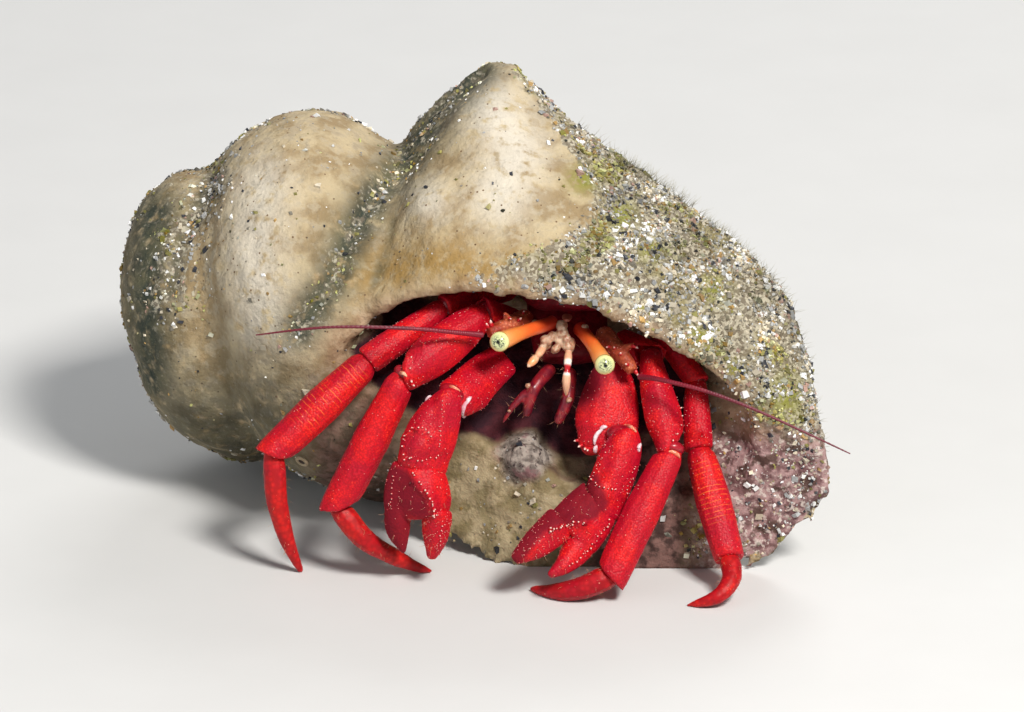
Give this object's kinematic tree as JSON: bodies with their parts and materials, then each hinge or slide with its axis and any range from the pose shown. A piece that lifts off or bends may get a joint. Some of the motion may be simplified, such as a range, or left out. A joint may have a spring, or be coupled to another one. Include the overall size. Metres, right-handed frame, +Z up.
{
  "type": "hermit crab in sea-snail shell",
  "caption": "Red reef hermit crab leaning out of its lopsided, sand-crusted sea-snail shell, claws forward and walking legs spread on the floor, as a life-size still model.",
  "frame": {"origin": "the middle of the footprint's bounding box, on the floor under the shell", "axes": "+X to the crab's own left and the shell's mouth end, +Y from the crab's face into the shell, +Z up from the floor"},
  "size_m": [0.0472, 0.0354, 0.0285],
  "materials": {
    "shell": "matte, weathered and encrusted shell",
    "crab_red": "satin red cuticle",
    "crab_dark_red": "satin dark red cuticle",
    "eyestalk_orange": "glossy orange-red cuticle",
    "cornea": "glossy yellow-green eye surface",
    "antenna": "satin dark red-purple feeler",
    "antennule": "satin pale peach feeler",
    "soft_body": "soft moist skin"
  },
  "bodies": {
    "root": {"abdomen_front": "soft_body", "abdomen_middle": "soft_body", "abdomen_rear": "soft_body", "antenna_base_left": "crab_red", "antenna_base_right": "crab_red", "antenna_flagellum_left": "antenna", "antenna_flagellum_right": "antenna", "antennule_left": "antennule", "antennule_right": "antennule", "carapace_rear": "soft_body", "carapace_shield": "crab_dark_red", "carpus_second_left": "crab_red", "carpus_second_right": "crab_red", "carpus_third_left": "crab_red", "carpus_third_right": "crab_red", "claw_carpus_left": "crab_red", "claw_carpus_right": "crab_red", "claw_finger_left": "crab_red", "claw_finger_right": "crab_red", "claw_merus_left": "crab_red", "claw_merus_right": "crab_red", "claw_palm_left": "crab_red", "claw_palm_right": "crab_red", "cornea_left": "cornea", "cornea_right": "cornea", "dactyl_second_left": "crab_red", "dactyl_second_right": "crab_red", "dactyl_third_left": "crab_red", "dactyl_third_right": "crab_red", "eyestalk_left": "eyestalk_orange", "eyestalk_right": "eyestalk_orange", "leg_fifth_left": "crab_dark_red", "leg_fifth_right": "crab_dark_red", "leg_fourth_left": "crab_dark_red", "leg_fourth_right": "crab_dark_red", "maxilliped_left": "crab_dark_red", "maxilliped_right": "crab_dark_red", "merus_second_left": "crab_red", "merus_second_right": "crab_red", "merus_third_left": "crab_red", "merus_third_right": "crab_red", "ocular_scales": "antennule", "propodus_second_left": "crab_red", "propodus_second_right": "crab_red", "propodus_third_left": "crab_red", "propodus_third_right": "crab_red", "shell": "shell", "tail_fan": "soft_body", "thorax": "crab_dark_red"}
  },
  "joints": []
}
